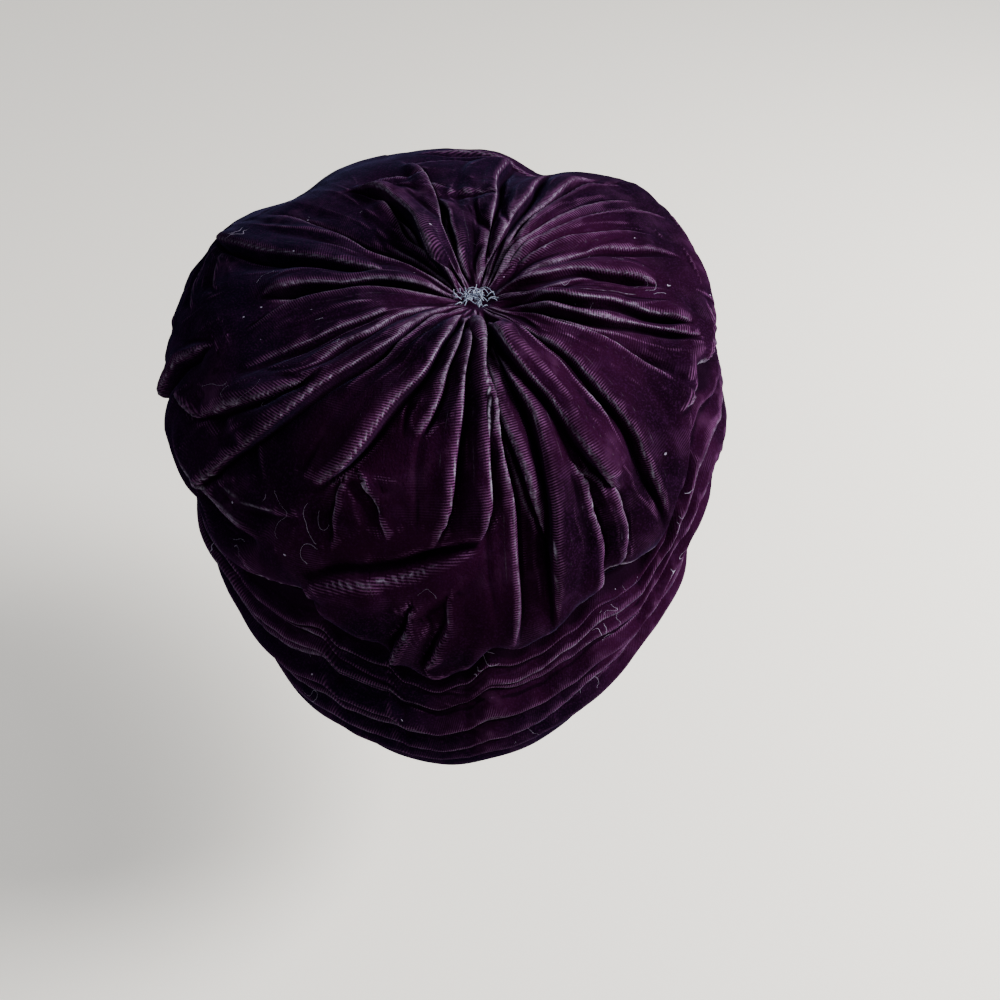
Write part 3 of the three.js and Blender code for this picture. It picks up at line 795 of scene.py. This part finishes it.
def pile_rows(tree, uv, sway, run, row_gap):
    """Slanting rows of pile, a gap apart along the run of the cloth."""
    split = node(tree, "ShaderNodeSeparateXYZ", {0: uv})
    along, across = ("Y", "X") if run == "down" else ("X", "Y")
    phase = 0.0
    for source, turns in ((split.outputs[along], 2 * math.pi / (row_gap * 10)), (sway, 9.0),
                          (split.outputs[across], 190.0)):
        part = node(tree, MATH, {0: source, 1: turns}, 0, operation="MULTIPLY")
        phase = node(tree, MATH, {0: phase, 1: part}, 0, operation="ADD")
    rows = node(tree, MATH, {0: phase}, 0, operation="SINE")
    return node(tree, RANGE, {"Value": rows, "From Min": -0.1, "From Max": 0.6,
                              "To Min": 0.05}, "Result")


def lint_specks(tree, place, uv):
    """Lint about 0.8 mm across, one in a patch of about 11 mm, and a few short hairs."""
    speck = node(tree, "ShaderNodeTexVoronoi", {"Vector": uv, "Scale": 9.0})
    pick = node(tree, "ShaderNodeSeparateColor", {"Color": speck.outputs["Color"]})
    small = node(tree, MATH, {0: speck.outputs["Distance"], 1: 0.036}, 0,
                 operation="LESS_THAN")
    shown = node(tree, MATH, {0: pick.outputs["Red"], 1: 0.35}, 0, operation="GREATER_THAN")
    lint = node(tree, MATH, {0: small, 1: shown}, 0, operation="MULTIPLY")
    hair = node(tree, NOISE, {"Vector": place, "Scale": 70.0, "Detail": 0.0,
                              "Distortion": 1.2}, "Fac")
    hair = node(tree, MATH, {0: hair, 1: 0.5}, 0, operation="SUBTRACT")
    hair = node(tree, MATH, {0: hair}, 0, operation="ABSOLUTE")
    hair = node(tree, MATH, {0: hair, 1: 0.0020}, 0, operation="LESS_THAN")
    shown = node(tree, MATH, {0: pick.outputs["Green"], 1: 0.955}, 0,
                 operation="GREATER_THAN")
    hair = node(tree, MATH, {0: hair, 1: shown}, 0, operation="MULTIPLY")
    return node(tree, MATH, {0: lint, 1: hair}, 0, operation="MAXIMUM")


def velvet(name, run, settings):
    """Crushed silk and rayon velvet: dark pile that turns pale where a crease opens it, with
    painted highlights on crests and edges and painted shade in creases, on the wearer's left,
    front and low down.
    """
    material = new_material(name)
    tree = material.node_tree
    place = node(tree, "ShaderNodeTexCoord", out="Object")
    uv = node(tree, "ShaderNodeUVMap", out="UV", uv_map="cloth")
    crest, edge = (node(tree, "ShaderNodeAttribute", out="Fac", attribute_name=mark)
                   for mark in ("crest", "edge"))
    # broad patches of pile pressed different ways, about 60 mm across
    broad = node(tree, NOISE, {"Vector": place, "Scale": 17.0, "Detail": 3.0,
                               "Roughness": 0.55}, "Fac")
    broad = node(tree, RANGE, {"Value": broad, "From Min": 0.36, "From Max": 0.66}, "Result",
                 interpolation_type="SMOOTHSTEP")
    # brushed and crushed marks, about 8 mm across
    crush = node(tree, NOISE, {"Vector": place, "Scale": 120.0, "Detail": 4.0,
                               "Roughness": 0.6, "Distortion": 0.6}, "Fac")
    marks = node(tree, RANGE, {"Value": crush, "From Min": 0.52, "From Max": 0.80,
                               "To Max": 0.35}, "Result")
    # pale bruises where the pile is worn, about 30 mm across
    bruise = node(tree, NOISE, {"Vector": place, "Scale": 34.0, "Detail": 5.0,
                                "Roughness": 0.65}, "Fac")
    bruise = node(tree, RANGE, {"Value": bruise, "From Min": 0.60, "From Max": 0.82,
                                "To Max": 0.34}, "Result")
    # grain of the pile, drawn at about 0.8 mm so that it shows
    grain = node(tree, NOISE, {"Vector": place, "Scale": 1300.0, "Detail": 1.0}, "Fac")
    grain = node(tree, RANGE, {"Value": grain, "From Min": 0.50, "From Max": 0.72,
                               "To Max": 0.5}, "Result")
    # rows of pile, seen as slanting ticks on a rounded fold and in ribbed patches
    sway = node(tree, NOISE, {"Vector": place, "Scale": 60.0}, "Fac")
    ticks = pile_rows(tree, uv, sway, run, settings.row_gap)
    broken = node(tree, RANGE, {"Value": crush, "From Min": 0.32, "From Max": 0.62,
                                "To Min": 0.25}, "Result")
    ribbed = node(tree, RANGE, {"Value": sway, "From Min": 0.52, "From Max": 0.70,
                                "To Max": 0.20}, "Result")
    # rounded folds painted lighter: partly ribbed and opened pile, partly painted highlight
    ridge = node(tree, RANGE, {"Value": crest, "From Min": 0.10, "From Max": 0.36}, "Result",
                 interpolation_type="SMOOTHSTEP")
    ridge = node(tree, MATH, {0: ridge, 1: ribbed}, 0, operation="MAXIMUM")
    # painted shade darkens the creases, and the pale along a sharp crest or a turned edge is
    # partly opened pile, partly painted highlight
    deep = node(tree, RANGE, {"Value": crest, "From Min": -0.06, "From Max": -0.40,
                              "To Max": 0.80}, "Result")
    sharp = node(tree, RANGE, {"Value": crest, "From Min": 0.40, "From Max": 0.85}, "Result",
                 interpolation_type="SMOOTHSTEP")
    edge = node(tree, RANGE, {"Value": edge, "From Min": 0.45, "From Max": 0.95}, "Result",
                interpolation_type="SMOOTHSTEP")
    # pale along crests and edges: partly opened pile, partly painted highlight
    open_pile_and_highlight = node(tree, MATH, {0: sharp, 1: edge}, 0, operation="MAXIMUM")
    # flecks about 1 mm across break the opened pile up
    fleck = node(tree, NOISE, {"Vector": place, "Scale": 900.0, "Detail": 1.0}, "Fac")
    fleck = node(tree, RANGE, {"Value": fleck, "From Min": 0.36, "From Max": 0.60,
                               "To Min": 0.2}, "Result")
    side_light = painted_side_shade(tree, place, broad)
    # painted shade on the pale lines as well: they dim on the wearer's left, front and low down
    pale = node(tree, RANGE, {"Value": side_light, "To Min": 0.45}, "Result")
    for factor in (ticks, broken, pale):
        ridge = node(tree, MATH, {0: ridge, 1: factor}, 0, operation="MULTIPLY")
    for factor in (fleck, broken, pale):
        open_pile_and_highlight = node(tree, MATH, {0: open_pile_and_highlight, 1: factor}, 0, operation="MULTIPLY")
    base = node(tree, MIX, {0: broad, 6: colour(settings.pressed_pile_and_crease_shade),
                            7: colour(settings.plum_pile)}, 2, data_type="RGBA")
    # painted shade: blue black on the wearer's left, front and low down, the sides away from the
    # light
    base = node(tree, MIX, {0: side_light, 6: colour(settings.side_shade_tone), 7: base}, 2,
                data_type="RGBA")
    # painted crease shade and painted ridge and edge highlights are mixed in here with the real
    # marks, grain and lint
    for factor, tone in ((marks, settings.brushed_pile), (bruise, settings.worn_pile_and_ridge_highlight),
                         (grain, settings.brushed_pile), (ridge, settings.worn_pile_and_ridge_highlight),
                         (deep, settings.pressed_pile_and_crease_shade), (open_pile_and_highlight, settings.open_pile_and_highlight),
                         (lint_specks(tree, place, uv), LINT_TONE)):
        base = node(tree, MIX, {0: factor, 6: base, 7: colour(tone)}, 2, data_type="RGBA")
    # the pile's own fuzz, drawn at 0.9 mm so that it shows
    fuzz = node(tree, NOISE, {"Vector": place, "Scale": 1100.0, "Detail": 2.0}, "Fac")
    height = node(tree, MATH, {0: fuzz, 1: 0.5}, 0, operation="MULTIPLY")
    for source, share in ((open_pile_and_highlight, 0.6), (crush, 0.5), (ridge, 0.6)):
        part = node(tree, MATH, {0: source, 1: share}, 0, operation="MULTIPLY")
        height = node(tree, MATH, {0: height, 1: part}, 0, operation="ADD")
    bump = node(tree, "ShaderNodeBump", {"Height": height, "Strength": 0.55,
                                         "Distance": 0.0008}, "Normal")
    shader = node(tree, "ShaderNodeBsdfPrincipled", {
        "Base Color": base, "Roughness": 0.8, "Specular IOR Level": 0.0, "Sheen Weight": 0.10,
        "Sheen Roughness": 0.32, "Sheen Tint": colour(settings.sheen), "IOR": 1.45,
        "Normal": bump}, "BSDF")
    node(tree, "ShaderNodeOutputMaterial", {"Surface": shader})
    return material


def worn_thread():
    """Bleached cotton sewing thread: matt, pale blue grey, uneven along its length."""
    material = new_material("worn cotton thread")
    tree = material.node_tree
    place = node(tree, "ShaderNodeTexCoord", out="Object")
    patch = node(tree, NOISE, {"Vector": place, "Scale": 420.0}, "Fac")
    base = node(tree, MIX, {0: patch, 6: colour(THREAD_TONES[0]), 7: colour(THREAD_TONES[1])},
                2, data_type="RGBA")
    twist = node(tree, "ShaderNodeTexWave", {"Vector": place, "Scale": 500.0,
                                             "Distortion": 2.0}, "Fac")
    bump = node(tree, "ShaderNodeBump", {"Height": twist, "Strength": 0.4,
                                         "Distance": 0.0002}, "Normal")
    shader = node(tree, "ShaderNodeBsdfPrincipled", {
        "Base Color": base, "Roughness": 0.85, "Specular IOR Level": 0.2, "Sheen Weight": 0.5,
        "Normal": bump}, "BSDF")
    node(tree, "ShaderNodeOutputMaterial", {"Surface": shader})
    return material


class TurbanSettings(bpy.types.PropertyGroup):
    """Sizes and colours of the turban."""
    wall: bpy.props.FloatProperty(name="Cloth", description="Thickness of the crown's cloth",
                                  default=0.0022, min=0.001, max=0.003, unit="LENGTH")
    swathe_wall: bpy.props.FloatProperty(name="Swathe", description="Thickness of a swathe",
                                         default=0.0018, min=0.001, max=0.003, unit="LENGTH")
    row_gap: bpy.props.FloatProperty(name="Pile rows", description="Distance between pile rows",
                                     default=0.00095, min=0.0005, max=0.004, unit="LENGTH")
    # pressed pile patches, and the painted shade in creases
    pressed_pile_and_crease_shade: bpy.props.StringProperty(name="Shadow pile", default="0d040e",
                                          description="Hex colour of pile pressed away and of the painted shade in creases")
    plum_pile: bpy.props.StringProperty(name="Plum pile", default="20061c",
                                        description="Hex colour of pile facing out")
    brushed_pile: bpy.props.StringProperty(name="Brushed pile", default="2a0d2e",
                                           description="Hex colour of brushed marks")
    # painted shade on the wearer's left, front and low down
    side_shade_tone: bpy.props.StringProperty(name="Side shade", default="0a0715",
                                        description="Hex colour of the painted shade on the left, front and low down")
    # worn pile patches, and the painted highlight on rounded folds
    worn_pile_and_ridge_highlight: bpy.props.StringProperty(name="Ridge pile", default="5a3359",
                                         description="Hex colour of worn pile and of the painted highlight on a rounded fold")
    # opened pile, and the painted highlight along crests and edges
    open_pile_and_highlight: bpy.props.StringProperty(name="Open pile", default="847c90",
                                        description="Hex colour of pile opened by a crease and of the painted highlight on crests and edges")
    sheen: bpy.props.StringProperty(name="Sheen", default="66669c",
                                    description="Hex colour of the velvet's sheen")


def finish_piece(piece, material, slot, *nodes):
    piece.data.materials.clear()
    piece.data.materials.append(material)
    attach(piece, "root")
    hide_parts(*nodes)


class TURBAN_OT_crown(bpy.types.Operator):
    """Make the gathered crown"""
    bl_idname = "turban.crown"
    bl_label = "Crown"

    def execute(self, context):
        settings = context.scene.turban
        piece = build_crown(settings.wall / MM)
        finish_piece(piece, velvet("crushed velvet, gathered", "down", settings), "velvet",
                     "crown")
        return {"FINISHED"}


class TURBAN_OT_swathes(bpy.types.Operator):
    """Make the wrapped band swathes"""
    bl_idname = "turban.swathes"
    bl_label = "Band swathes"

    def execute(self, context):
        settings = context.scene.turban
        material = velvet("crushed velvet, wrapped", "round", settings)
        for swathe in SWATHES:
            piece = build_swathe(swathe, settings.swathe_wall / MM)
            finish_piece(piece, material, "velvet", swathe["name"])
        return {"FINISHED"}


class TURBAN_OT_gather_knot(bpy.types.Operator):
    """Make the worn gathering threads"""
    bl_idname = "turban.gather_knot"
    bl_label = "Gathering threads"

    def execute(self, context):
        finish_piece(build_knot(), worn_thread(), "thread", "gather_knot")
        return {"FINISHED"}


def add_area_light(name, place, size, power, tint):
    light = bpy.data.lights.new(name, "AREA")
    light.shape = "DISK"
    light.size = size
    light.energy = power
    light.color = tint
    lamp = bpy.data.objects.new(name, light)
    bpy.context.scene.collection.objects.link(lamp)
    way = np.array(LIGHT_AIM, float) - np.array(place, float)
    flat = math.hypot(way[0], way[1])
    lamp.location = place
    lamp.rotation_euler = (math.atan2(flat, -way[2]), 0, math.atan2(way[1], way[0]) - math.pi / 2)


def add_camera():
    data = bpy.data.cameras.new("camera")
    data.lens = CAMERA_LENS
    data.sensor_width = CAMERA_SENSOR
    data.clip_start = 0.01
    camera = bpy.data.objects.new("camera", data)
    tilt = math.radians(CAMERA_ELEVATION)
    camera.location = (CAMERA_AIM[0], CAMERA_AIM[1] - CAMERA_DISTANCE * math.cos(tilt),
                       CAMERA_AIM[2] + CAMERA_DISTANCE * math.sin(tilt))
    camera.rotation_euler = (math.pi / 2 - tilt, 0, 0)
    bpy.context.scene.collection.objects.link(camera)
    bpy.context.scene.camera = camera


class TURBAN_OT_stage(bpy.types.Operator):
    """Make the floor, the lights and the camera"""
    bl_idname = "turban.stage"
    bl_label = "Stage"

    def execute(self, context):
        bpy.ops.object.select_all(action="DESELECT")
        low = CAD_BOX[0][2] - FLOOR_DROP
        bpy.ops.mesh.primitive_plane_add(size=8, location=(0, 0, low))
        floor = context.object
        floor.name = "floor"
        bpy.ops.object.transform_apply(location=True)
        material = new_material("plain pale floor")
        tree = material.node_tree
        shader = node(tree, "ShaderNodeBsdfPrincipled", {
            "Base Color": colour(FLOOR_TONE), "Roughness": 0.7,
            "Emission Color": colour(FLOOR_TONE), "Emission Strength": FLOOR_GLOW})
        node(tree, "ShaderNodeOutputMaterial", {"Surface": shader.outputs["BSDF"]})
        floor.data.materials.append(material)
        world = bpy.data.worlds.new("studio")
        context.scene.world = world
        world.use_nodes = True
        sky = world.node_tree.nodes["Background"].inputs
        sky["Color"].default_value = colour(WORLD_TONE)
        sky["Strength"].default_value = WORLD_STRENGTH
        for name, place, size, power, tint in LIGHTS:
            add_area_light(name, place, size, power, tint)
        add_camera()
        return {"FINISHED"}


class TURBAN_PT_panel(bpy.types.Panel):
    """Lists the turban's pieces"""
    bl_label = "Turban"
    bl_space_type = "VIEW_3D"
    bl_region_type = "UI"
    bl_category = "Turban"

    def draw(self, context):
        settings = context.scene.turban
        for key in ("wall", "swathe_wall", "row_gap", "pressed_pile_and_crease_shade", "plum_pile",
                    "brushed_pile", "side_shade_tone", "worn_pile_and_ridge_highlight", "open_pile_and_highlight", "sheen"):
            self.layout.prop(settings, key)
        for operator in OPERATORS:
            self.layout.operator(operator.bl_idname)


OPERATORS = (TURBAN_OT_stage, TURBAN_OT_crown, TURBAN_OT_swathes, TURBAN_OT_gather_knot)
CLASSES = (TurbanSettings, *OPERATORS, TURBAN_PT_panel)


def register():
    for item in CLASSES:
        bpy.utils.register_class(item)
    bpy.types.Scene.turban = bpy.props.PointerProperty(type=TurbanSettings)


def unregister():
    del bpy.types.Scene.turban
    for item in reversed(CLASSES):
        bpy.utils.unregister_class(item)


def main():
    register()
    bpy.ops.turban.stage()
    bpy.ops.turban.crown()
    bpy.ops.turban.swathes()
    bpy.ops.turban.gather_knot()


if __name__ == "__main__":
    main()
